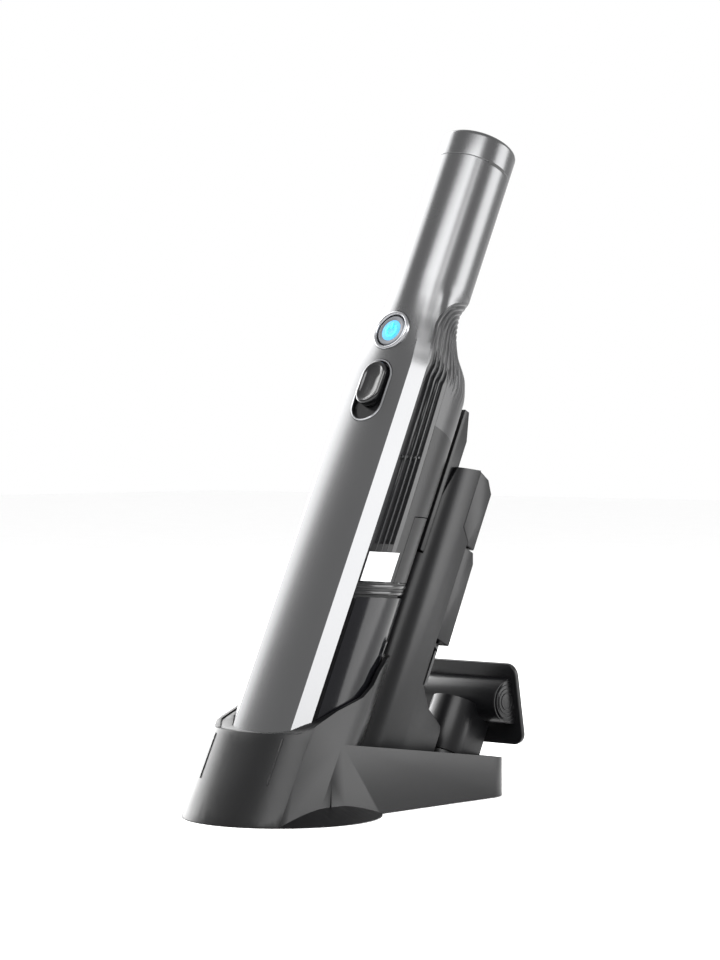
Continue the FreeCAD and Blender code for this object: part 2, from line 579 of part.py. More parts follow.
def sleeve(name, gap):
    """The vacuum's round back drawn outwards by gap, and everything in front of its widest line."""
    back = doc.addObject("Part::Feature", name + "_back")
    half, rear, around = number("body_half"), number("body_rear"), number(gap)
    back.Shape = Part.makeLoft([section(z, half, rear, 0, -around) for z in (-60, 150)], True, True)
    back.setExpression("Placement", bound(LEANING))
    front = box(name + "_front", (-80, -120, -60), (80, "body_rear - body_half", 150))
    return join(name, back, within(LEANING, front))


def tray_block(name, inset, low):
    """The tray behind the boot, with a top that slopes down to the rear."""
    half = "dock_half - (%s)" % inset
    footprint = plan(name + "_plan", [
        ("-(%s)" % half, 0), (half, 0), (half, "tray_rear_y - (%s)" % inset),
        ("-(%s)" % half, "tray_rear_y - (%s)" % inset)], 60,
        ("tray_round - (%s)" % inset, lambda point: point.y > 50))
    put(footprint, z=-5)
    high = 60 if low < 0 else "tray_rear_z"
    rear = "tray_rear_y - (%s) - tray_rake * (%s)"
    view = slab(name + "_view", [
        (-1, low), (rear % (inset, low), low), (rear % (inset, high), high),
        (-1, 60 if low < 0 else "tray_front_z")], 100)
    return both(name, footprint, view)


def socket_form():
    """The leaning well in the dock that the vacuum's lower end drops into."""
    piece = doc.addObject("Part::Feature", "socket_form")
    half, rear, gap = number("body_half"), number("body_rear"), number("seat_gap")
    low, high = number("shoulder_z - seat_gap"), 150
    piece.Shape = Part.makeLoft([section(z, half, rear, 0, -gap) for z in (low, high)], True, True)
    piece.setExpression("Placement", bound(LEANING))
    return piece


def within(frame, thing):
    """Move a helper from another frame into the world."""
    own = places.get(thing.Name)
    text = frame if own is None else frame + " * " + own
    thing.setExpression("Placement", bound(text))
    return thing


def dock():
    """Shell, cradle, base plate, pads, screws, rack, jack and charging pins."""
    sides = box("boot_sides", ("-dock_half", -80, "ground_gap"), ("dock_half", 120, 140))
    boot = both("boot_part", boot_form("boot_outer", 0), sides, rim_view("rim_cut", "0"),
                sleeve("boot_sleeve", "dock_half - body_half"))
    skirt = doc.addObject("Part::Cone", "foot_skirt")
    skirt.setExpression("Radius1", bound("foot_r - 0.2"))
    skirt.setExpression("Radius2", bound("skirt_top_r"))
    skirt.setExpression("Height", bound("skirt_top_z - ground_gap"))
    put(skirt, z="ground_gap")
    tray = tray_block("tray", "0", number("ground_gap"))
    inner_sides = box("boot_inner_sides", ("-dock_half + dock_wall", -80, -2),
                      ("dock_half - dock_wall", 120, 150))
    boot_room = both("boot_room", boot_form("boot_inner", number("dock_wall")), inner_sides,
                     sleeve("boot_inner_sleeve", "dock_half - body_half - dock_wall"))
    tray_room = cut("tray_room", tray_block("tray_inner", "dock_wall", -2.0),
                    both("boot_keep", boot_form("boot_keep_form", 0.0001),
                         sleeve("boot_keep_sleeve", "dock_half - body_half")))
    base_room = rod("base_room", "base_r + 0.4", "base_z + base_thick + 0.2 + 1", 0, 0, -1)
    jack_hole = rod("jack_hole", "jack_r", 30, 0, "tray_rear_y - 15", "jack_z", "x", -90)
    whole = join("dock_whole", boot, skirt, tray)
    node("dock_shell", cut("dock_shell_cut", whole, boot_room, tray_room, base_room, jack_hole))

    lining_room = both("cradle_room", boot_form("cradle_form", number("dock_wall + 0.05")),
                       box("cradle_sides", ("-dock_half + dock_wall + 0.05", -80, "base_z + 8"),
                           ("dock_half - dock_wall - 0.05", 120, 150)),
                       rim_view("cradle_rim", "0.6"),
                       sleeve("cradle_sleeve", "dock_half - body_half - dock_wall - 0.05"))
    well = within(LEANING, box("nozzle_well", (-22.8, -13.8, -12), (22.8, 17.8, "shoulder_z")))
    pin_holes = []
    for side in (-1, 1):
        x = "%d * pin_x" % side
        pin_holes.append(within(LEANING, rod("pin_hole_%d" % side, "pin_r + 0.1", 40, x, "pin_y", -20)))
        pin_holes.append(within(LEANING, rod("collar_hole_%d" % side, "pin_r + 1.4", 30, x, "pin_y",
                                    "shoulder_z - 7.4 - 30")))
    node("cradle", cut("cradle_cut", lining_room, socket_form(), well, *pin_holes))

    disc = rod("base_disc", "base_r", "base_thick", 0, 0, "base_z")
    tail = plan("base_tail", [
        ("-dock_half + dock_wall + 0.3", 20), ("dock_half - dock_wall - 0.3", 20),
        ("dock_half - dock_wall - 0.3", "tray_rear_y - dock_wall - 1"),
        ("-dock_half + dock_wall + 0.3", "tray_rear_y - dock_wall - 1")], "base_thick",
        ("tray_round - dock_wall - 0.6", lambda point: point.y > 50))
    put(tail, z="base_z")
    spots = [(-24, -24), (24, -24), (-22, 60), (22, 60), (0, 140)]
    heads = [rod("screw_head_%d" % k, 2.2, "base_thick", x, y, "base_z")
             for k, (x, y) in enumerate(spots)]
    node("dock_base", cut("dock_base_cut", join("dock_base_part", disc, tail), *heads))
    node("dock_screws", join("dock_screws_group", *[
        rod("dock_screw_%d" % k, 2.2, "base_thick", x, y, "base_z")
        for k, (x, y) in enumerate(spots)]))
    pads = [rod("foot_pad_%d" % k, 7, "base_z", x, y, 0)
            for k, (x, y) in enumerate([(0, 0), (-30, -27), (30, -27), (-22, 132), (22, 132)])]
    node("foot_pads", join("foot_pads_group", *pads))

    floor = both("rack_floor", tray_block("rack_block", "dock_wall + 0.1", -1.0),
                 box("rack_slice", (-60, 62, "floor_z"), (60, 200, "floor_z + floor_thick")))
    posts = []
    for name, radius, nose, low, tall in (
            ("crevice", "crevice_r", "crevice_nose_y", "crevice_low_z", "crevice_post"),
            ("upholstery", "neck_r", "neck_nose_y", "neck_low_z", "neck_post")):
        middle = "%s + %s" % (nose, radius)
        posts.append(within(LEANING, rod("post_" + name, radius + " - tool_wall - post_gap",
                                         tall + " + 20", 0, middle, low + " - 20")))
        posts.append(within(LEANING, rod("collar_" + name, radius + " - collar_lip",
                                         "20 - rest_gap", 0, middle, low + " - 20")))
    standing = both("standing_posts", join("rack_posts", *posts),
                    box("above_floor", (-60, 0, "floor_z"), (60, 200, 120)))
    node("accessory_rack", join("accessory_rack_part", floor, standing))

    barrel = rod("jack_barrel", "jack_r", "jack_len", 0, "tray_rear_y - 1.6 - jack_len", "jack_z",
                 "x", -90)
    socket = rod("jack_socket", "jack_bore_r", "jack_len - 2", 0, "tray_rear_y - 1.6 - jack_len + 2",
                 "jack_z", "x", -90)
    node("power_jack", cut("jack_body", barrel, socket))
    node("dock_board", box("dock_board_box", (-14, 100, "base_z + base_thick + 0.6"),
                           (14, 124, "base_z + base_thick + 2.0")))
    pins, leaves = [], []
    for side in (-1, 1):
        x = "%d * pin_x" % side
        pins.append(rod("pin_%d" % side, "pin_r", 11.9, x, "pin_y", "shoulder_z - 12"))
        pins.append(rod("pin_collar_%d" % side, "pin_r + 1", 1, x, "pin_y", "shoulder_z - 9"))
        leaves.append(box("leaf_%d" % side, (x + " - 2", "pin_y - 3", "shoulder_z - 13.6"),
                          (x + " + 2", "pin_y + 5", "shoulder_z - 13.2")))
    node("charge_pins", join("charge_pins_group", *pins), LEANING)
    node("pin_springs", join("pin_springs_group", *leaves), LEANING)


# ---------------------------------------------------------------- accessory tools

def half_round(name, nose, r, back, low, high, inset):
    """A tool body with a half-round nose towards -Y and flat sides, between two heights."""
    middle = "%s + %s" % (nose, r)
    tall = "(%s) - (%s)" % (high, low)
    cylinder = rod(name + "_nose", "%s - %s" % (r, inset), tall, 0, middle, low)
    block = box(name + "_block", ("-(%s) + %s" % (r, inset), middle, low),
                ("%s - %s" % (r, inset), "%s - %s" % (back, inset), high))
    return join(name, cylinder, block)


def crevice_tool():
    """Outer shell cut obliquely at the top, inner flat tip, and the sliding brush."""
    back = "crevice_back_y"
    trunk = half_round("crevice_trunk", "crevice_nose_y", "crevice_r", back, "crevice_low_z",
                       "crevice_top_z", "0")
    base = box("crevice_base", ("-crevice_r", "crevice_back_y - 5", "crevice_low_z + 14"),
               ("crevice_r", "crevice_back_y + 26", "crevice_low_z + 58"))
    view = slab("crevice_view", [
        ("crevice_nose_y - 5", "crevice_low_z - 5"), ("crevice_back_y + 30", "crevice_low_z - 5"),
        ("crevice_back_y + 27", "crevice_low_z + 36"), ("crevice_back_y + 25", "crevice_low_z + 42"),
        ("crevice_back_y + 11", "crevice_low_z + 47"), (back, "crevice_low_z + 58"),
        (back, "crevice_top_z - 42"), ("crevice_back_y - 7.5", "crevice_top_z - 36"),
        ("crevice_back_y - 7.5", "crevice_top_z"), ("crevice_nose_y + 7.6", "crevice_top_z - 6"),
        ("crevice_nose_y - 0.5", "crevice_top_z - 58"), ("crevice_nose_y - 5", "crevice_top_z - 58")],
        60)
    room = half_round("crevice_room", "crevice_nose_y", "crevice_r", back, "crevice_low_z - 1",
                      "crevice_top_z - 60", "tool_wall")
    tip_way = box("crevice_tip_way", ("-tip_half - 0.1", "crevice_nose_y + 1.4", "crevice_top_z - 62"),
                  ("tip_half + 0.1", "tip_back_y + 0.1", "crevice_top_z + 40"))
    top_room = box("crevice_top_room", ("-crevice_r + tool_wall", "tip_back_y + 3", "crevice_top_z - 62"),
                   ("crevice_r - tool_wall", "crevice_back_y - 9.7", "crevice_top_z - 6"))
    shell = both("crevice_shell_part", join("crevice_solid", trunk, base), view)
    node("crevice_shell", cut("crevice_shell_cut", shell, room, tip_way, top_room), LEANING)
    tip_view = slab("crevice_tip_view", [
        ("crevice_nose_y + 1.5", "crevice_top_z - 61"), ("tip_back_y", "crevice_top_z - 61"),
        ("tip_back_y", "crevice_tip_z - 16"), ("crevice_nose_y + 5.5", "crevice_tip_z"),
        ("crevice_nose_y + 1.5", "crevice_tip_z")], "2*tip_half")
    slot = box("crevice_tip_slot",
               ("tip_wall - tip_half", "crevice_nose_y + 1.5 + tip_wall", "crevice_top_z - 62"),
               ("tip_half - tip_wall", "tip_back_y - tip_wall", "crevice_tip_z + 1"))
    node("crevice_tip", cut("crevice_tip_cut", tip_view, slot), LEANING)

    rest = "crevice_back_y + brush_gap"
    thumb = slab("brush_thumb_view", [
        ("crevice_back_y - 7.5 + brush_gap", "crevice_top_z"),
        ("crevice_back_y + 2", "crevice_top_z - 1.5"), ("brush_back_y - 3.5", "crevice_top_z - 8"),
        ("brush_back_y - 3.5", "brush_split_z + 1"), (rest, "brush_split_z + 1"),
        (rest, "crevice_top_z - 41.6"), ("crevice_back_y - 7.5 + brush_gap", "crevice_top_z - 35.5")],
        "2*crevice_r - 1")
    node("brush_thumb", thumb, LEANING)
    carriage = slab("brush_carriage_view", [
        (rest, "comb_top_z"), ("brush_back_y + 1", "comb_top_z"),
        ("brush_back_y", "brush_split_z - 6"), ("brush_back_y - 3", "brush_split_z"),
        (rest, "brush_split_z")], "2*crevice_r - 2")
    bar = box("carriage_bar", (-5, rest, "brush_split_z"), (5, "brush_back_y - 5", "brush_split_z + 1"))
    node("brush_carriage", join("brush_carriage_part", carriage, bar), LEANING)
    tufts = [box("tuft_%d_%d" % (row, column), (x, "%s + 0.4 + %d * 3.6" % (rest, row), "comb_low_z"),
                 (x + 2, "%s + 2.2 + %d * 3.6" % (rest, row), "comb_top_z"))
             for row in range(3) for column, x in enumerate((-12, -7, -2, 3, 8))]
    node("brush_bristles", join("brush_bristles_group", *tufts), LEANING)


def upholstery_tool():
    """Half-round neck, cross tube, mouth frame and lint strips."""
    trunk = half_round("neck_trunk", "neck_nose_y", "neck_r", "neck_back_y", "neck_low_z",
                       "neck_top_z", "0")
    room = half_round("neck_room", "neck_nose_y", "neck_r", "neck_back_y", "neck_low_z - 1",
                      "neck_top_z - 6", "tool_wall")
    beam = rod("head_beam", "head_r", "2*head_half", "-head_half", "head_y", "head_z", "y", 90)
    ahead = within(MOUTH, box("mouth_ahead", (-80, -70, -80), (80, "-mouth_thick", 80)))
    head_room = rod("head_room", "head_r - tool_wall", "2*head_half - 6", "-head_half + 3", "head_y",
                    "head_z", "y", 90)
    trim = rod("neck_trim", "head_r", "2*head_half", "-head_half", "head_y", "head_z", "y", 90)
    throat = box("head_throat", (-7, "head_y - 14", "head_z - 12"), (7, "head_y - 7", "head_z - 5"))
    hollow = cut("neck_hollow", within(LEANING, cut("neck_body", trunk, room)), trim, throat)
    node("upholstery_neck", both("upholstery_neck_part", hollow, ahead))
    node("upholstery_head", cut("upholstery_head_cut", both("head_cross", beam, ahead), head_room,
                                throat))
    plate = plan("mouth_plan", [
        ("-mouth_half", "-mouth_tall/2"), ("mouth_half", "-mouth_tall/2"),
        ("mouth_half", "mouth_tall/2"), ("-mouth_half", "mouth_tall/2")], "mouth_thick",
        ("mouth_round", lambda point: True))
    put(plate, turn="x", angle=90)
    hole = box("mouth_hole", ("8 - mouth_half", -10, -9), ("mouth_half - 8", 10, 9))
    node("mouth_plate", cut("mouth_plate_cut", plate, hole), MOUTH)
    strips = [box("lint_strip_%d" % side, ("6 - mouth_half", 0, "%d - 2" % (side * 14)),
                  ("mouth_half - 6", "lint_thick", "%d + 2" % (side * 14))) for side in (-1, 1)]
    node("lint_strips", join("lint_strips_group", *strips), MOUTH)


vacuum_casing()
controls()
electronics()
motor_group()
cup_group()
dock()
crevice_tool()
upholstery_tool()
doc.recompute()

os.makedirs("parts", exist_ok=True)
faults = [item.Name for item in doc.Objects
          if "Invalid" in item.State or "Error" in item.State]
for label, thing in nodes.items():
    if thing.Shape.isNull() or not thing.Shape.isValid() or not thing.Shape.Solids:
        faults.append(label)
if faults:
    raise RuntimeError("these did not build: " + ", ".join(faults))
for label, thing in nodes.items():
    thing.Shape.exportStep(os.path.join("parts", label + ".step"))
print("%d nodes" % len(nodes))
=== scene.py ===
import json
import math

import bmesh
import bpy
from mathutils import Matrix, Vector
from mathutils.bvhtree import BVHTree


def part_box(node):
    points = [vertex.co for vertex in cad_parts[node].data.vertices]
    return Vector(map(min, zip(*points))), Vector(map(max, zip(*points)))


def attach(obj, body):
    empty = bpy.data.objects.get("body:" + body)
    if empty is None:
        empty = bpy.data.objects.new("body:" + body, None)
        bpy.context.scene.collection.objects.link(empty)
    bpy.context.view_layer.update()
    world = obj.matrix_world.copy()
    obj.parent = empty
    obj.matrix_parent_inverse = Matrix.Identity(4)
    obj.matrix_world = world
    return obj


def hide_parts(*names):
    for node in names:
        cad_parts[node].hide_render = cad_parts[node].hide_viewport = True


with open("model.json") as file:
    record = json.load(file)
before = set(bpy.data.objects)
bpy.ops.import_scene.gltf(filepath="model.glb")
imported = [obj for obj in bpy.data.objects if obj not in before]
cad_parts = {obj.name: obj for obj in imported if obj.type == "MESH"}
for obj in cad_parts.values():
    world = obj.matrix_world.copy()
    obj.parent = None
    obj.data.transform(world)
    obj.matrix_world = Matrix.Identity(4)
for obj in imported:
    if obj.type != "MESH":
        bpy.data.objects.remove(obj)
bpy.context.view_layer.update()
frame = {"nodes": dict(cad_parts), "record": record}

MM = 0.001
LEAN = math.radians(26.5)
TIP = Vector((0.0, -7.9, 21.8))
UP = Vector((0.0, math.sin(LEAN), math.cos(LEAN)))
BACK = Vector((0.0, math.cos(LEAN), -math.sin(LEAN)))

# the vacuum's driving sizes in millimetres, the same as in the CAD source
HANDLE_R = 22.2
CHEEK = -13.6
SLOPE = 0.414
# inner and outer edge of the bevel, and where they go once the section is round
FACET_IN, FACET_OUT = (21.5, 19.5), (28.7, 13.6)
ROUND_IN, ROUND_OUT = math.radians(40), math.radians(58)
SPINE_HALF = 3.6
# height, half width, depth of the back, and how far the section has turned round
STATIONS = (
    (10, 33.0, 39.4, 0.0), (150, 33.0, 39.4, 0.0), (240, 30.8, 40.0, 0.1),
    (252, 29.1, 37.0, 0.3), (264, 26.8, 25.6, 0.55), (276, 24.6, 20.1, 0.8),
    (288, 22.7, 18.6, 0.95), (300, 22.2, 22.2, 1.0), (378, 22.2, 22.2, 1.0))
# height and depth of the metal edge
ARCH = ((0, CHEEK), (240, CHEEK), (250, -11.5), (270, -12), (276, -11), (283, -8), (289, -3),
        (293.5, 4), (297.5, 13), (300, 24))
SHELL_LOW, CUP_LOW, CUP_TOP, HOUSING = 12.0, 30.0, 108.0, 117.0
PANEL_TOP, GRIP_LOW, VENT_BACK, PANEL_Y, VENT_LOW = 157.0, 215.0, 3.5, 10.0, 136.0
GRIP_JOIN, NECK, CAP, END = 250.0, 300.0, 378.0, 395.0
POWER_Z, SLIDE_Z = 262.5, 224.5
RING_R, RIM_HALF, RIM_LENGTH = 12.15, 11.5, 39.0
# on the outline, the middle of the back; as a depth, anything behind the back
SPINE, ROUND_BACK = 4.0, 45.0
# ribs beside the metal edge, and the heights between which slots, pitch and waves change
RIB_PITCH, RIB_START, RIB_COUNT, PITCH_LOSS = 3.4, 0.9, 4, 0.7
SLOT_DEPTH, BREAK_Z, BREAK_HALF, BREAK_DEPTH = 2.1, 193.2, 0.7, 0.4
WAVE_DEPTH, CREASE_DEPTH = 0.34, 0.16
GRIP_TURN, PITCH_TURN, WAVE_TURN = (246, 264), (240, 265), (226, 248)
EDGE_LOW, EDGE_STEP, STRAIGHT_TOP = 230.0, 0.7, 236.0


# ------------------------------------------------------------------ camera, light, floor

def camera():
    """A long lens at the object's front right, a hand above the table."""
    data = bpy.data.cameras.new("camera")
    data.lens = 112.5
    data.clip_end = 20
    eye = bpy.data.objects.new("camera", data)
    eye.location = (1.1231, -1.1839, 0.2114)
    eye.rotation_euler = (math.radians(89), 0, math.radians(42))
    bpy.context.scene.collection.objects.link(eye)
    bpy.context.scene.camera = eye


def softbox(name, aim, direction, distance, size, power):
    """A rectangular area light that looks at a point from a direction."""
    data = bpy.data.lights.new(name, "AREA")
    data.shape = "RECTANGLE"
    data.size, data.size_y = size
    data.energy = power
    lamp = bpy.data.objects.new(name, data)
    away = Vector(direction).normalized()
    lamp.location = Vector(aim) + away * distance
    lamp.rotation_euler = away.to_track_quat("Z", "Y").to_euler()
    bpy.context.scene.collection.objects.link(lamp)


def studio():
    """Pale floor, pale surroundings and three soft lights."""
    world = bpy.data.worlds.new("studio")
    bpy.context.scene.world = world
    world.use_nodes = True
    shade = world.node_tree.nodes["Background"]
    shade.inputs["Color"].default_value = (1, 1, 1, 1)
    shade.inputs["Strength"].default_value = 1.0
    middle = (0, 0.05, 0.2)
    softbox("key", middle, (0.49, -0.585, 0.644), 1.6, (1.3, 0.95), 36)
    softbox("rear", middle, (0.74, 0.67, 0.05), 1.4, (0.8, 1.3), 24)
    softbox("left", middle, (-0.94, 0.13, 0.30), 1.4, (1.3, 1.5), 42)
    mesh = bpy.data.meshes.new("floor")
    size = 6.0
    mesh.from_pydata([(-size, -size, 0), (size, -size, 0), (size, size, 0), (-size, size, 0)], [],
                     [(0, 1, 2, 3)])
    floor = bpy.data.objects.new("floor", mesh)
    bpy.context.scene.collection.objects.link(floor)
    paint(floor, surface("floor_paint", (0.965, 0.965, 0.965), 0.9, grain=350, bump=0.00004, vary=0.012))
    view = bpy.context.scene.view_settings
    view.view_transform = "Standard"


# ------------------------------------------------------------------ materials

def surface(name, colour, rough, metal=0.0, grain=900.0, bump=0.00002, vary=0.12, coat=0.0,
            stretch=(1, 1, 1), glow=None, clear=0.0, spread=0.06, shine=0.5):
    """A procedural finish: grain in the colour, roughness and relief."""
    material = bpy.data.materials.new(name)
    material.use_nodes = True
    tree = material.node_tree
    shader = tree.nodes["Principled BSDF"]
    shader.inputs["Metallic"].default_value = metal
    shader.inputs["Coat Weight"].default_value = coat
    shader.inputs["Specular IOR Level"].default_value = shine
    shader.inputs["Transmission Weight"].default_value = clear
    place = tree.nodes.new("ShaderNodeTexCoord")
    turn = tree.nodes.new("ShaderNodeMapping")
    turn.inputs["Rotation"].default_value = (LEAN, 0, 0)
    turn.inputs["Scale"].default_value = stretch
    tree.links.new(place.outputs["Object"], turn.inputs["Vector"])
    fine = tree.nodes.new("ShaderNodeTexNoise")
    fine.inputs["Scale"].default_value = grain
    fine.inputs["Detail"].default_value = 4
    broad = tree.nodes.new("ShaderNodeTexNoise")
    broad.inputs["Scale"].default_value = 18
    broad.inputs["Detail"].default_value = 3
    for noise in (fine, broad):
        tree.links.new(turn.outputs["Vector"], noise.inputs["Vector"])
    mixed = tree.nodes.new("ShaderNodeMath")
    mixed.operation = "ADD"
    tree.links.new(fine.outputs["Fac"], mixed.inputs[0])
    tree.links.new(broad.outputs["Fac"], mixed.inputs[1])
    tone = tree.nodes.new("ShaderNodeValToRGB")
    tone.color_ramp.elements[0].position = 0.35
    tone.color_ramp.elements[1].position = 0.65
    tone.color_ramp.elements[0].color = (*[c * (1 - vary) for c in colour], 1)
    tone.color_ramp.elements[1].color = (*[min(1, c * (1 + vary)) for c in colour], 1)
    half = tree.nodes.new("ShaderNodeMath")
    half.operation = "MULTIPLY"
    half.inputs[1].default_value = 0.5
    tree.links.new(mixed.outputs[0], half.inputs[0])
    tree.links.new(half.outputs[0], tone.inputs["Fac"])
    tree.links.new(tone.outputs["Color"], shader.inputs["Base Color"])
    gloss = tree.nodes.new("ShaderNodeMapRange")
    gloss.inputs["To Min"].default_value = max(0.02, rough - spread)
    gloss.inputs["To Max"].default_value = rough + spread
    tree.links.new(broad.outputs["Fac"], gloss.inputs["Value"])
    tree.links.new(gloss.outputs["Result"], shader.inputs["Roughness"])
    relief = tree.nodes.new("ShaderNodeBump")
    relief.inputs["Distance"].default_value = bump
    relief.inputs["Strength"].default_value = 0.6
    tree.links.new(fine.outputs["Fac"], relief.inputs["Height"])
    tree.links.new(relief.outputs["Normal"], shader.inputs["Normal"])
    if glow:
        shader.inputs["Emission Color"].default_value = (*glow[0], 1)
        shader.inputs["Emission Strength"].default_value = glow[1]
    return material


def paint(thing, material):
    """Give a piece one material."""
    thing.data.materials.clear()
    thing.data.materials.append(material)


GUNMETAL = surface("gunmetal", (0.102, 0.1025, 0.104), 0.27, metal=1.0, grain=2600, bump=0.000006,
                   vary=0.03, spread=0.012)
PLASTIC = surface("dark_plastic", (0.0035, 0.0035, 0.0038), 0.36, grain=1500, bump=0.00003, shine=0.2)
GRIP = surface("grip_plastic", (0.010, 0.0101, 0.0108), 0.34, grain=1300, bump=0.00002, shine=0.34)
DOCK = surface("dock_plastic", (0.0035, 0.0035, 0.0038), 0.34, grain=1700, bump=0.00003, shine=0.2)
TOOL = surface("tool_plastic", (0.003, 0.003, 0.0034), 0.32, grain=1700, bump=0.00003, shine=0.2)
GLOSS = surface("gloss_black", (0.003, 0.003, 0.0034), 0.18, grain=500, bump=0.000006, coat=0.2,
                spread=0.03, shine=0.3)
SILVER = surface("silver_rim", (0.24, 0.242, 0.25), 0.26, metal=1.0, grain=2400, bump=0.00001)
FACE = surface("button_face", (0.12, 0.125, 0.135), 0.36, metal=0.7, grain=2000, bump=0.00001)
LIT = surface("lit_symbol", (0.02, 0.42, 0.95), 0.4, grain=300, bump=0.000005,
              glow=((0.02, 0.50, 1.0), 2.6))
HALO = surface("lit_halo", (0.03, 0.22, 0.42), 0.4, grain=300, bump=0.000005,
               glow=((0.01, 0.22, 0.50), 0.7))
LABEL = surface("label_white", (0.50, 0.503, 0.507), 0.32, grain=700, bump=0.000006, vary=0.02)
SMOKE = surface("smoke_clear", (0.004, 0.004, 0.005), 0.12, grain=300, bump=0.000003, clear=0.15,
                spread=0.02, shine=0.12)
# dark rubber for the seals, also used as the painted shade of the cap's latch slot
SEAL_RUBBER_AND_SLOT_SHADE = surface("seal_rubber", (0.012, 0.012, 0.012), 0.62, grain=1200, bump=0.00004)
FELT = surface("filter_felt", (0.62, 0.60, 0.56), 0.9, grain=900, bump=0.0002, vary=0.2)
BOARD = surface("board_green", (0.02, 0.13, 0.06), 0.35, grain=500, bump=0.00002)
WRAP = surface("cell_wrap", (0.05, 0.20, 0.36), 0.3, grain=300, bump=0.00001)
STEEL = surface("steel", (0.50, 0.51, 0.53), 0.28, metal=1.0, grain=1800, bump=0.00002)
BRASS = surface("plated_brass", (0.80, 0.60, 0.25), 0.22, metal=1.0, grain=1200, bump=0.00001)
BRISTLE = surface("bristle_nylon", (0.010, 0.010, 0.011), 0.45, grain=2600, bump=0.0001,
                  stretch=(6, 6, 1))
PILE = surface("lint_pile", (0.07, 0.07, 0.075), 0.85, grain=3000, bump=0.0002, vary=0.3)
ALLOY = surface("fan_alloy", (0.66, 0.67, 0.69), 0.3, metal=1.0, grain=1600, bump=0.00001)

NODE_FINISH = {
    "gunmetal": GUNMETAL, "dark_plastic": PLASTIC, "dock_plastic": DOCK, "tool_plastic": TOOL,
    "gloss_black": GLOSS, "silver": SILVER, "button_face": FACE, "light_blue": LIT,
    "label_white": LABEL, "smoke_clear": SMOKE, "seal_rubber": SEAL_RUBBER_AND_SLOT_SHADE, "filter_cloth": FELT,
    "board_green": BOARD, "cell_wrap": WRAP, "steel": STEEL, "copper_brass": BRASS,
    "bristle": BRISTLE, "lint_red": PILE, "alloy": ALLOY}
SLOT_OF = {row["node"]: row["material_slot"] for row in frame["record"]["subparts"]}
BODY_OF = {node: body for body, members in frame["record"]["behaviour"]["bodies"].items()
           for node in members}


# ------------------------------------------------------------------ mesh helpers

def lean(x, y, z):
    """A point of the leaning frame, in millimetres, as a place in metres."""
    return (TIP + Vector((x, 0, 0)) + BACK * y + UP * z) * MM


def finish(name, build, node, material, sharp=32, replace=True):
    """Turn a bmesh into a piece that rides where its CAD node does."""
    bmesh.ops.remove_doubles(build, verts=build.verts, dist=0.00002)
    bmesh.ops.dissolve_degenerate(build, edges=build.edges, dist=0.000004)
    bmesh.ops.recalc_face_normals(build, faces=build.faces)
    mesh = bpy.data.meshes.new(name)
    build.to_mesh(mesh)
    build.free()
    thing = bpy.data.objects.new(name, mesh)
    bpy.context.scene.collection.objects.link(thing)
    paint(thing, material)
    crisp(thing, sharp)
    settle(thing, node, replace)
    return thing


def settle(thing, node, replace=True):
    """Let a piece ride and stand for its CAD node."""
    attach(thing, BODY_OF[node])
    if replace:
        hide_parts(node)


def crisp(thing, degrees):
    """Smooth shading, with edges sharper than the angle kept sharp."""
    build = bmesh.new()
    build.from_mesh(thing.data)
    limit = math.radians(degrees)
    for face in build.faces:
        face.smooth = True
    for edge in build.edges:
        edge.smooth = len(edge.link_faces) == 2 and edge.calc_face_angle(0) < limit
    build.to_mesh(thing.data)
    build.free()


def apply_modifiers(thing):
    """Replace the mesh by what its modifiers make of it."""
    bpy.context.view_layer.update()
    shown = thing.evaluated_get(bpy.context.evaluated_depsgraph_get())
    made = bpy.data.meshes.new_from_object(shown)
    thing.modifiers.clear()
    thing.data = made


def pchip(rows, column, z):
    """Smooth interpolation in a table that doesn't overshoot."""
    spots = [row[0] for row in rows]
    values = [row[column] for row in rows]
    z = min(max(z, spots[0]), spots[-1])
    gaps = [b - a for a, b in zip(spots, spots[1:])]
    rates = [(b - a) / gap for a, b, gap in zip(values, values[1:], gaps)]
    slopes = [rates[0]]
    for one, two in zip(rates, rates[1:]):
        slopes.append(0.0 if one * two <= 0 else 2 * one * two / (one + two))
    slopes.append(rates[-1])
    k = max(i for i in range(len(gaps)) if spots[i] <= z)
    t = (z - spots[k]) / gaps[k]
    return ((1 + 2 * t) * (1 - t) ** 2 * values[k] + t * (1 - t) ** 2 * gaps[k] * slopes[k]
            + t * t * (3 - 2 * t) * values[k + 1] + t * t * (t - 1) * gaps[k] * slopes[k + 1])


def section_point(z, s, inset=0.0):
    """The outline at height z: s runs 0-1 over the crown, 1-2 the bevel, 2-3 side, 3-4 back."""
    half = pchip(STATIONS, 1, z)
    rear = pchip(STATIONS, 2, z)
    keep = 1 - pchip(STATIONS, 3, z)
    rest = 1 - keep
    x1 = keep * FACET_IN[0] + rest * HANDLE_R * math.sin(ROUND_IN) - 0.45 * inset
    y1 = keep * FACET_IN[1] + rest * HANDLE_R * math.cos(ROUND_IN) - 0.9 * inset
    x2 = keep * FACET_OUT[0] + rest * HANDLE_R * math.sin(ROUND_OUT) - 0.85 * inset
    y2 = keep * FACET_OUT[1] + rest * HANDLE_R * math.cos(ROUND_OUT) - 0.45 * inset
    middle = rear - half
    half -= inset
    if s <= 1:
        drop = HANDLE_R - inset - y1
        radius = (x1 * x1 + drop * drop) / (2 * drop)
        angle = s * math.asin(x1 / radius)
        return radius * math.sin(angle), radius - HANDLE_R + inset - radius * math.cos(angle)
    if s <= 2:
        return x1 + (x2 - x1) * (s - 1), -y1 + (y1 - y2) * (s - 1)
    if s <= 3:
        bend = ((half - x2) ** 2 + (y2 + middle) ** 2) / (2 * (half - x2))
        angle = -math.asin((y2 + middle) / bend) * (3 - s)
        return half - bend + bend * math.cos(angle), middle + bend * math.sin(angle)
    angle = (s - 3) * math.pi / 2
    return half * math.cos(angle), middle + half * math.sin(angle)


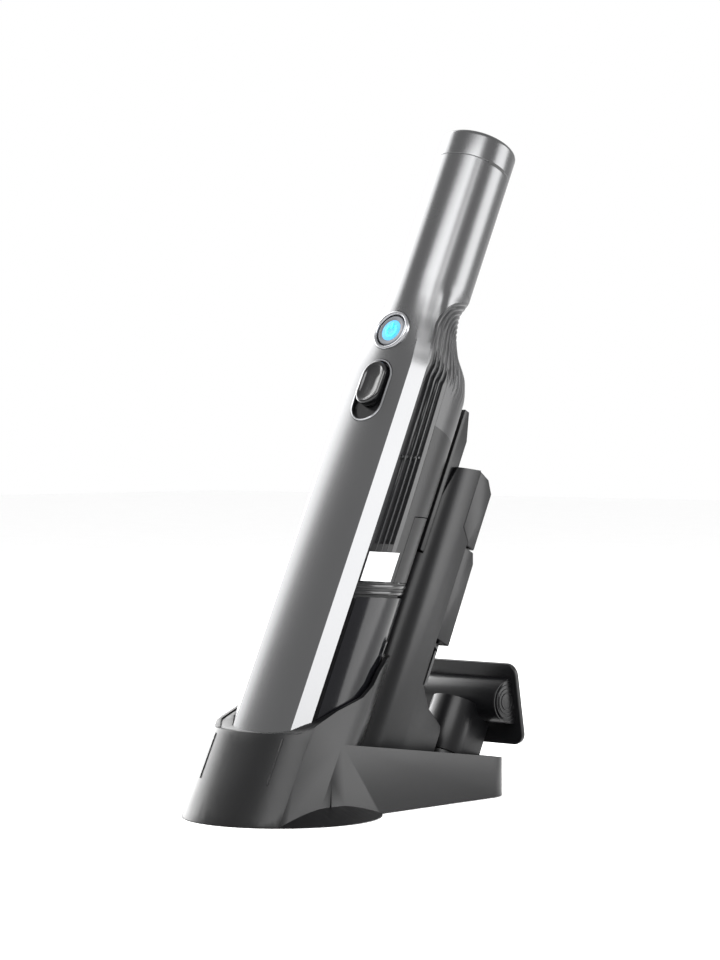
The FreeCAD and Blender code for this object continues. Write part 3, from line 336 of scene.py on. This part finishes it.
def s_where(z, test):
    """The last s on the side or back for which the test of (x, y) still holds."""
    low, high = 2.0, 4.0
    for _ in range(26):
        mid = (low + high) / 2
        if test(*section_point(z, mid)):
            low = mid
        else:
            high = mid
    return low


def s_of_y(z, y):
    """The s at which the outline at height z reaches the depth y."""
    return s_where(z, lambda px, py: py < y)


def grid(build, rows, cols, place, mirror=True):
    """A sheet of quads through place(i, j), and its mirror image."""
    for side in ((1, -1) if mirror else (1,)):
        points = []
        for i in range(rows + 1):
            for j in range(cols + 1):
                x, y, z = place(i, j)
                points.append(build.verts.new(lean(side * x, y, z)))
        for i in range(rows):
            for j in range(cols):
                a = i * (cols + 1) + j
                quad = [points[k] for k in (a, a + 1, a + cols + 2, a + cols + 1)]
                if len({tuple(round(c, 7) for c in v.co) for v in quad}) > 2:
                    build.faces.new(quad)


def thicken(thing, depth, even=True):
    """Give a sheet a wall that grows inwards."""
    wall = thing.modifiers.new("wall", "SOLIDIFY")
    wall.thickness = depth * MM
    wall.offset = -1
    wall.use_even_offset = even
    wall.use_quality_normals = True
    apply_modifiers(thing)
    crisp(thing, 32)


def outward(thing):
    """Turn every face of an open sheet away from the vacuum's axis."""
    build = bmesh.new()
    build.from_mesh(thing.data)
    axis = TIP * MM
    for face in build.faces:
        middle = face.calc_center_median()
        along = axis + UP * (middle - axis).dot(UP)
        if face.normal.dot(middle - along) < 0:
            face.normal_flip()
    build.to_mesh(thing.data)
    build.free()


def sloped_place(q, s, inset):
    """A point whose seam height is q: seams rise towards the back."""
    z = q
    for _ in range(5):
        x, y = section_point(z, s, inset)
        z = q + SLOPE * y
    return x, y, z


# ------------------------------------------------------------------ vacuum skins

def arch_y(z):
    """Depth of the metal edge at height z."""
    return pchip(ARCH, 1, z)


def front_skin():
    """Metallic front, bevels and handle in one skin, open at the back, with its two openings."""
    build = bmesh.new()
    heights = []
    for low, step, count in ((SHELL_LOW, 6, 38), (240, 1.5, 26), (279, 0.75, 29), (303, 15, 6)):
        heights += [low + k * step for k in range(count)]
    crown, bevel, side = 14, 3, 14

    def place(i, j):
        z = heights[i]
        if j <= crown:
            s = j / crown
        elif j <= crown + bevel:
            s = 1 + (j - crown) / bevel
        else:
            if z < NECK - 0.01:
                edge = s_of_y(z, arch_y(z))
            else:
                edge = s_where(z, lambda px, py: px > SPINE_HALF)
            s = 2 + (edge - 2) * (j - crown - bevel) / side
        x, y = section_point(z, s)
        return x, y, z

    grid(build, len(heights) - 1, crown + bevel + side, place)
    skin = finish("front_skin", build, "front_shell", GUNMETAL, sharp=20)
    outward(skin)
    thicken(skin, 2.0)
    cut_opening(skin, circle_points(RING_R + 0.15), POWER_Z)
    cut_opening(skin, stadium_points(RIM_HALF + 0.2, RIM_LENGTH + 0.4), SLIDE_Z)
    crisp(skin, 20)


def circle_points(radius, count=64):
    """A round outline around its own centre."""
    return [(radius * math.cos(a), radius * math.sin(a))
            for a in [2 * math.pi * k / count for k in range(count)]]


def stadium_points(half, length, count=20):
    """An upright slot outline around its own centre."""
    reach = length / 2 - half
    points = []
    for end in (1, -1):
        for k in range(count + 1):
            angle = math.pi * k / count + (0 if end > 0 else math.pi)
            points.append((half * math.cos(angle), end * reach + half * math.sin(angle)))
    return points


def cut_opening(skin, points, z):
    """Cut a hole with this outline through the crown, centred at height z."""
    build = bmesh.new()
    front, rear = [[build.verts.new(lean(px, y, z + pz)) for px, pz in points]
                   for y in (-30, -16)]
    build.faces.new(front)
    build.faces.new(rear[::-1])
    for k in range(len(points)):
        n = (k + 1) % len(points)
        build.faces.new((front[n], front[k], rear[k], rear[n]))
    bmesh.ops.recalc_face_normals(build, faces=build.faces)
    mesh = bpy.data.meshes.new("cutter")
    build.to_mesh(mesh)
    build.free()
    tool = bpy.data.objects.new("cutter", mesh)
    bpy.context.scene.collection.objects.link(tool)
    cut = skin.modifiers.new("cut", "BOOLEAN")
    cut.operation = "DIFFERENCE"
    cut.solver = "EXACT"
    cut.object = tool
    apply_modifiers(skin)
    bpy.data.objects.remove(tool)


METAL_EDGE = [(arch_y(z), z) for z in [EDGE_LOW + EDGE_STEP * k for k in range(101)]]


def arch_distance(y, z):
    """How far a point of the side view lies behind the metal edge."""
    if z < STRAIGHT_TOP:
        return y - CHEEK
    return min(math.hypot(y - ay, z - az) for ay, az in METAL_EDGE)


def fade(value, start, end):
    """Smooth step from 0 at the start to 1 at the end."""
    t = min(1.0, max(0.0, (value - start) / (end - start)))
    return t * t * (3 - 2 * t)


def rib_depth(y, z):
    """Relief beside the metal edge: deep vent slots below, that fade into shallow grip waves."""
    distance = arch_distance(y, z)
    grip = fade(z + 0.6 * (y - CHEEK), *GRIP_TURN)
    pitch = RIB_PITCH - PITCH_LOSS * fade(z, *PITCH_TURN)
    phase = ((distance - RIB_START) / pitch) % 1.0
    away = min(phase, 1 - phase)
    slot = 0.0
    if RIB_START < distance < RIB_START + RIB_COUNT * RIB_PITCH:
        slot = SLOT_DEPTH * fade(away, 0.09, 0.2)
        if abs(z - SLOPE * y - BREAK_Z) < BREAK_HALF:
            slot = BREAK_DEPTH
    wave = WAVE_DEPTH * (1 - math.cos(2 * math.pi * phase)) + CREASE_DEPTH * fade(away, 0.12, 0.04)
    wave *= fade(z, *WAVE_TURN) * fade(distance, 0, 1.2) * (1 - 0.7 * fade(y, 6, 18))
    return slot * (1 - grip) + wave * grip


def ribbed(name, node, low, high, s_low, s_high, columns, rows, plain_top=False):
    """A moulded piece whose ribs run alongside the metal edge and bend with it."""
    build = bmesh.new()

    def place(i, j):
        z = low + (high - low) * i / rows
        start, end = s_low(z), s_high(z)
        s = start + (end - start) * j / columns
        y = section_point(z, s)[1]
        rise = min(1.0, (rows - i) / 3) if plain_top else 1.0
        depth = 0.15 + rib_depth(y, z) * min(1.0, j / 2, rise)
        x, y = section_point(z, s, depth)
        return x, y, z

    grid(build, rows, columns, place)
    piece = finish(name, build, node, GRIP, sharp=50)
    outward(piece)
    thicken(piece, 1.2, even=False)
    return piece


def grip_and_vents():
    """Ribbed grip behind the arch and the grooved vents below it."""
    def beside_metal(z):
        return s_of_y(z, arch_y(z) + 0.15)

    def to_spine(z):
        return SPINE

    ribbed("rear_grip_top", "rear_grip", GRIP_JOIN - 0.3, NECK - 0.4, beside_metal, to_spine,
           230, 80, plain_top=True)
    ribbed("rear_grip_low", "rear_grip", GRIP_LOW, GRIP_JOIN + 0.2,
           lambda z: s_of_y(z, VENT_BACK + 0.15), to_spine, 150, 40)
    vents = ribbed("side_vents", "vent_grille_right", VENT_LOW - 4, GRIP_JOIN + 0.6, beside_metal,
                   lambda z: s_of_y(z, VENT_BACK), 96, 110)
    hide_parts("vent_grille_left")


def plain_skin(name, node, q_low, q_high, y_low, y_high, inset=0.3, flat=None):
    """A smooth rear piece between two sloped seams, or a sloped one and a flat one, and two depths."""
    build = bmesh.new()
    rows, columns = 24, 40

    def place(i, j):
        q = q_low + (q_high - q_low) * i / rows
        start = s_of_y(q, y_low)
        end = SPINE if y_high == ROUND_BACK else s_of_y(q, y_high)
        s = start + (end - start) * j / columns
        if not flat:
            return sloped_place(q, s, inset)
        low = sloped_place(q_low, s, inset)[2]
        z = low + (flat - low) * i / rows
        return *section_point(z, s, inset), z

    grid(build, rows, columns, place)
    piece = finish(name, build, node, PLASTIC, sharp=40)
    outward(piece)
    thicken(piece, 1.2)


def rear_skins():
    """Housing behind the vents, the lower rear panel and the strip under the label."""
    plain_skin("rear_housing_upper", "rear_housing", PANEL_TOP + 0.6, GRIP_LOW, VENT_BACK + 0.2,
               ROUND_BACK, inset=0.15, flat=GRIP_LOW + 0.3)
    plain_skin("rear_housing_strip", "rear_housing", HOUSING + 0.3, PANEL_TOP + 0.6, VENT_BACK - 1,
               PANEL_Y - 0.3)
    plain_skin("rear_housing_cheek", "rear_housing", HOUSING + 0.3, VENT_LOW + 4, CHEEK + 0.2,
               VENT_BACK)
    plain_skin("rear_panel_skin", "rear_panel", HOUSING + 0.3, PANEL_TOP, PANEL_Y, ROUND_BACK)


def label():
    """A blank white plate with a thin edge."""
    build = bmesh.new()
    rows, columns = 8, 16
    tall, rear_edge, proud = 17.5, 6.4, 0.22

    def place(i, j):
        q = HOUSING + 0.6 + tall * i / rows
        start, end = s_of_y(q, CHEEK + 1.2), s_of_y(q, rear_edge)
        return sloped_place(q, start + (end - start) * j / columns, -proud)

    grid(build, rows, columns, place, mirror=False)
    plate = finish("label_plate", build, "side_label", LABEL)
    outward(plate)
    thicken(plate, 0.5)


def collar_rings():
    """Two moulded rings between the cup and the housing."""
    for name, q_low, q_high, inset in (("collar_ring_low", 109.6, 112.0, 0.1),
                                       ("collar_ring_top", 113.4, 116.0, -0.1)):
        build = bmesh.new()
        rows, columns = 6, 60

        def place(i, j):
            q = q_low + (q_high - q_low) * i / rows
            start = s_of_y(q, CHEEK + 0.3)
            round_off = 0.5 * (2 * i / rows - 1) ** 4
            return sloped_place(q, start + (SPINE - start) * j / columns, inset + round_off)

        grid(build, rows, columns, place)
        ring = finish(name, build, "bulkhead", GLOSS, replace=False)
        outward(ring)
        thicken(ring, 1.0, even=False)


def clear_cup():
    """Smoked clear cup behind the metal front."""
    build = bmesh.new()
    rows, columns = 20, 60

    def place(i, j):
        q = CUP_LOW + 4 + (CUP_TOP - CUP_LOW - 4) * i / rows
        start = s_of_y(q, CHEEK + 2.2)
        return sloped_place(q, start + (SPINE - start) * j / columns, 0.15)

    grid(build, rows, columns, place)
    cup = finish("cup_wall", build, "dust_cup", SMOKE)
    outward(cup)
    thicken(cup, 1.6)


def edge_hatch():
    """Strip of fine teeth between the metal edge and the clear wall."""
    build = bmesh.new()
    count, dent = 150, 0.35
    rise = (CUP_TOP - CUP_LOW - 6) / count
    for side in (1, -1):
        for k in range(count):
            z = CUP_LOW + rise * k
            near, far = [section_point(z, s_of_y(z, CHEEK + d), 0.1) for d in (0.1, 2.0)]
            for tooth in (((near, 0, z), (far, 0, z), (far, dent, z + rise), (near, dent, z + rise)),
                          ((near, dent, z + rise), (far, dent, z + rise), (far, 0, z + rise),
                           (near, 0, z + rise))):
                build.faces.new([build.verts.new(lean(side * (x - sunk), y, height))
                                 for (x, y), sunk, height in tooth])
    strip = finish("cup_edge_hatch", build, "dust_cup", PLASTIC, sharp=10,
                   replace=False)
    outward(strip)
    thicken(strip, 1.0, even=False)


def cup_rib():
    """Dark rounded rib on each side of the cup, with tapering ends."""
    build = bmesh.new()
    low, tall, middle, half_width, steps, arc = 58.0, 34.0, 24.5, 1.7, 24, 8
    for side in (1, -1):
        rings = []
        for k in range(steps + 1):
            t = k / steps
            half = half_width * math.sqrt(max(0.02, 1 - (2 * t - 1) ** 6))
            z = low + tall * t
            outline = [section_point(z, s_of_y(z, middle + half * math.cos(a)),
                                     0.3 - 0.55 * math.sin(a))
                       for a in [math.pi * m / arc for m in range(arc + 1)]]
            rings.append([build.verts.new(lean(side * (x + 0.02), y, z)) for x, y in outline])
        for one, two in zip(rings, rings[1:]):
            for m in range(arc):
                build.faces.new((one[m], one[m + 1], two[m + 1], two[m]))
    rib = finish("cup_rib", build, "dust_cup", GLOSS, replace=False)
    outward(rib)
    thicken(rib, 0.4, even=False)


def end_cap():
    """Handle cap with a rounded rim, a fine seam, and a thin dark sheet on the handle as painted shade
    where the latch slot is.
    """
    build = bmesh.new()
    rim = END - 3.2
    profile = [(HANDLE_R - 0.5, CAP + 0.05), (HANDLE_R, CAP + 0.6), (HANDLE_R, rim)]
    profile += [(HANDLE_R - 3 + 3 * math.cos(a), rim + 3.1 * math.sin(a))
                for a in [math.pi / 2 * k / 8 for k in range(1, 9)]]
    profile += [(HANDLE_R - 6, END - 0.1), (HANDLE_R - 8, END - 0.4), (0.01, END - 0.4)]
    turns = 96

    def place(i, j):
        radius, z = profile[i]
        angle = 2 * math.pi * j / turns
        return radius * math.sin(angle), -radius * math.cos(angle), z

    grid(build, len(profile) - 1, turns, place, mirror=False)
    finish("end_cap_skin", build, "end_cap", GUNMETAL, sharp=40)
    # painted shade: a thin dark sheet laid just outside the handle where the latch slot is; no slot is
    # cut
    build = bmesh.new()
    steps = 24

    def slot_shade_place(i, j):
        angle = math.radians(64 + 34 * i / steps)
        radius = HANDLE_R + 0.06
        return radius * math.sin(angle), -radius * math.cos(angle), CAP - 0.9 + 2.0 * j

    grid(build, steps, 1, slot_shade_place, mirror=False)
    finish("latch_slot_shade_sheet", build, "handle_spine", SEAL_RUBBER_AND_SLOT_SHADE, replace=False)


# ------------------------------------------------------------------ controls

def revolve(build, profile, z, y0, turns=72):
    """A profile of (radius, depth) turned about a button's axis."""
    rings = []
    for radius, depth in profile:
        rings.append([build.verts.new(lean(radius * math.cos(a), y0 + depth, z + radius * math.sin(a)))
                      for a in [2 * math.pi * k / turns for k in range(turns)]])
    for one, two in zip(rings, rings[1:]):
        for k in range(turns):
            n = (k + 1) % turns
            build.faces.new((one[k], one[n], two[n], two[k]))


def power_key():
    """Silver ring, dished key and a lit power sign."""
    front = -HANDLE_R
    build = bmesh.new()
    revolve(build, [(RING_R, 3.6), (RING_R, 0.2), (11.8, -0.5), (11.2, -0.78), (10.6, -0.7),
                    (10.1, -0.3), (9.75, 0.8), (9.7, 3.6), (RING_R, 3.6)], POWER_Z, front)
    finish("power_ring", build, "power_bezel", SILVER, sharp=60)
    build = bmesh.new()
    dish = [(9.3, 2.6), (9.3, 0.7), (9.0, 0.35), (8.5, 0.25)]
    dish += [(8.5 * (1 - k / 10), 0.25 + 0.45 * (1 - (1 - k / 10) ** 2)) for k in range(1, 10)]
    dish += [(0.05, 0.70)]
    revolve(build, dish, POWER_Z, front)
    finish("power_key", build, "power_button", FACE, sharp=50)
    build = bmesh.new()
    revolve(build, [(6.4, 0.42), (6.2, 0.36), (0.05, 0.62)], POWER_Z, front)
    finish("power_halo", build, "power_button", HALO, replace=False)
    build = bmesh.new()
    turns = 40
    start, sweep = 125, 290
    rows = [[build.verts.new(lean(r * math.cos(a), front + 0.28, POWER_Z + r * math.sin(a)))
             for a in [math.radians(start + sweep * k / turns) for k in range(turns + 1)]]
            for r in (2.9, 3.9)]
    for k in range(turns):
        build.faces.new((rows[0][k], rows[0][k + 1], rows[1][k + 1], rows[1][k]))
    bar = [(-0.5, 1.2), (0.5, 1.2), (0.5, 4.6), (-0.5, 4.6)]
    build.faces.new([build.verts.new(lean(px, front + 0.28, POWER_Z + pz)) for px, pz in bar])
    sign = finish("power_sign", build, "power_button", LIT, replace=False)
    thicken(sign, 0.3)


def loop_stack(build, outlines, close=True):
    """Join outlines with the same number of points, then cap the last one."""
    rings = [[build.verts.new(p) for p in outline] for outline in outlines]
    for one, two in zip(rings, rings[1:]):
        for k in range(len(one)):
            n = (k + 1) % len(one)
            build.faces.new((one[k], one[n], two[n], two[k]))
    if close:
        build.faces.new(rings[-1])
    return rings


def slider():
    """Recessed slot with a thin bright rim, and a black pad with a raised lower lip."""
    front = -HANDLE_R

    def ring(half, length, y, crown=0.0):
        return [lean(px, y + crown * px * px, SLIDE_Z + pz)
                for px, pz in stadium_points(half, length)]

    crown = 0.0058
    build = bmesh.new()
    loop_stack(build, [ring(RIM_HALF, RIM_LENGTH, front + 3.5),
                       ring(RIM_HALF, RIM_LENGTH, front, crown=crown),
                       ring(11.2, 38.4, front - 0.45, crown=crown),
                       ring(10.6, 37.2, front - 0.45, crown=crown),
                       ring(10.2, 36.4, front, crown=crown), ring(10.0, 36.0, front + 3.5)], False)
    finish("slider_ring", build, "slider_rim", SILVER, sharp=50)
    build = bmesh.new()
    loop_stack(build, [ring(10.0, 36.0, front + 0.6, crown=crown), ring(9.9, 35.8, front + 2.6)])
    finish("slider_well", build, "slider_rim", GLOSS, replace=False)
    build = bmesh.new()
    middle = SLIDE_Z + 3.9
    # half width, length and depth of each outline of the pad
    pad = [(8.4, 27.0, 2.2), (8.4, 27.0, -1.4), (8.1, 26.4, -2.3), (7.3, 24.8, -2.9),
           (6.6, 23.4, -2.85), (5.9, 22.0, -2.1), (4.6, 17.5, -1.6), (2.2, 9.0, -1.45)]
    outlines = []
    for half, length, depth in pad:
        outlines.append([lean(px, front + depth - 0.9 * max(0.0, -pz / 13.5) + crown * px * px,
                              middle + pz) for px, pz in stadium_points(half, length)])
    loop_stack(build, outlines)
    finish("slider_pad", build, "release_slider", GLOSS, sharp=60)


# ------------------------------------------------------------------ softened CAD pieces

def soften(node, width):
    """A copy of a CAD piece with its edges rounded as moulded plastic has them."""
    source = frame["nodes"][node]
    build = bmesh.new()
    build.from_mesh(source.data)
    bmesh.ops.remove_doubles(build, verts=build.verts, dist=0.00001)
    bmesh.ops.dissolve_limit(build, angle_limit=math.radians(0.6), verts=build.verts,
                             edges=build.edges)
    mesh = bpy.data.meshes.new(node + "_soft")
    build.to_mesh(mesh)
    build.free()
    piece = bpy.data.objects.new(node + "_soft", mesh)
    bpy.context.scene.collection.objects.link(piece)
    paint(piece, NODE_FINISH[SLOT_OF[node]])
    round_off = piece.modifiers.new("round", "BEVEL")
    round_off.width = width * MM
    round_off.segments = 3
    round_off.limit_method = "ANGLE"
    round_off.angle_limit = math.radians(28)
    apply_modifiers(piece)
    crisp(piece, 40)
    settle(piece, node)
    return piece


# ------------------------------------------------------------------ dock and tool details

def end_rings():
    """Four stepped rings moulded on each end of the upholstery tool's head."""
    low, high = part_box("upholstery_head")
    build = bmesh.new()
    turns, width, rise, sunk = 64, 0.45 * MM, 0.45 * MM, -0.2 * MM
    y, z = (low[1] + high[1]) / 2, (low[2] + high[2]) / 2
    for side in (1, -1):
        face = high[0] if side > 0 else low[0]
        for radius in [(11.6 - 2.3 * k) * MM for k in range(4)]:
            profile = [(radius + width, sunk), (radius + width / 2, rise),
                       (radius - width / 2, rise), (radius - width, sunk)]
            rings = [[build.verts.new((face + side * out, y + r * math.cos(a), z + r * math.sin(a)))
                      for a in [2 * math.pi * k / turns for k in range(turns)]]
                     for r, out in profile]
            for one, two in zip(rings, rings[1:] + rings[:1]):
                for k in range(turns):
                    n = (k + 1) % turns
                    build.faces.new((one[k], one[n], two[n], two[k]))
    finish("head_end_rings", build, "upholstery_head", TOOL, sharp=60, replace=False)


def comb_lip():
    """Half-round finger lip at the lower end of the sliding brush."""
    build = bmesh.new()
    reach, half, back, low = 13.0, 14.0, 76.2, 111.4
    outline = [(half * math.cos(a), back + reach * math.sin(a))
               for a in [math.pi * k / 32 for k in range(33)]]
    rows = [(1.0, 0.0), (1.0, 2.2), (0.94, 2.9), (0.8, 3.1)]
    loops = [[lean(x * scale, back + (y - back) * scale, low + rise) for x, y in outline]
             for scale, rise in rows]
    rings = loop_stack(build, loops)
    build.faces.new(rings[0][::-1])
    finish("comb_lip", build, "brush_carriage", TOOL, sharp=50, replace=False)


def boot_lines(shell):
    """Raised seam on each side of the boot's plain front panel."""
    tree = BVHTree.FromPolygons([v.co for v in shell.data.vertices],
                                [p.vertices for p in shell.data.polygons])
    build = bmesh.new()
    across, width, steps = 25.0, 0.7, 30
    low, tall = 22.0, 23.5
    for side in (1, -1):
        rows = []
        for k in range(steps + 1):
            z = low + tall * k / steps
            x = side * across
            row = []
            for shift, rise in ((-1, -0.3), (-0.4, 0.45), (0.4, 0.45), (1, -0.3)):
                start = Vector(((x + side * shift * width) * MM, -0.12, z * MM))
                place, normal, _, _ = tree.ray_cast(start, Vector((0, 1, 0)))
                row.append(build.verts.new(place + normal * rise * MM))
            rows.append(row)
        for one, two in zip(rows, rows[1:]):
            for m in range(3):
                build.faces.new((one[m], one[m + 1], two[m + 1], two[m]))
    finish("boot_seams", build, "dock_shell", DOCK, sharp=60, replace=False)


# ------------------------------------------------------------------ make everything

camera()
studio()
for node_name, thing in frame["nodes"].items():
    paint(thing, NODE_FINISH[SLOT_OF[node_name]])

front_skin()
grip_and_vents()
rear_skins()
label()
collar_rings()
clear_cup()
edge_hatch()
cup_rib()
end_cap()
power_key()
slider()
boot_lines(soften("dock_shell", 0.8))
for softened, edge in (("cradle", 0.4), ("accessory_rack", 0.5),
                       ("crevice_shell", 0.7), ("crevice_tip", 0.4), ("brush_thumb", 0.8),
                       ("brush_carriage", 0.8), ("upholstery_neck", 0.5),
                       ("upholstery_head", 0.5), ("mouth_plate", 0.5)):
    soften(softened, edge)
end_rings()
comb_lip()
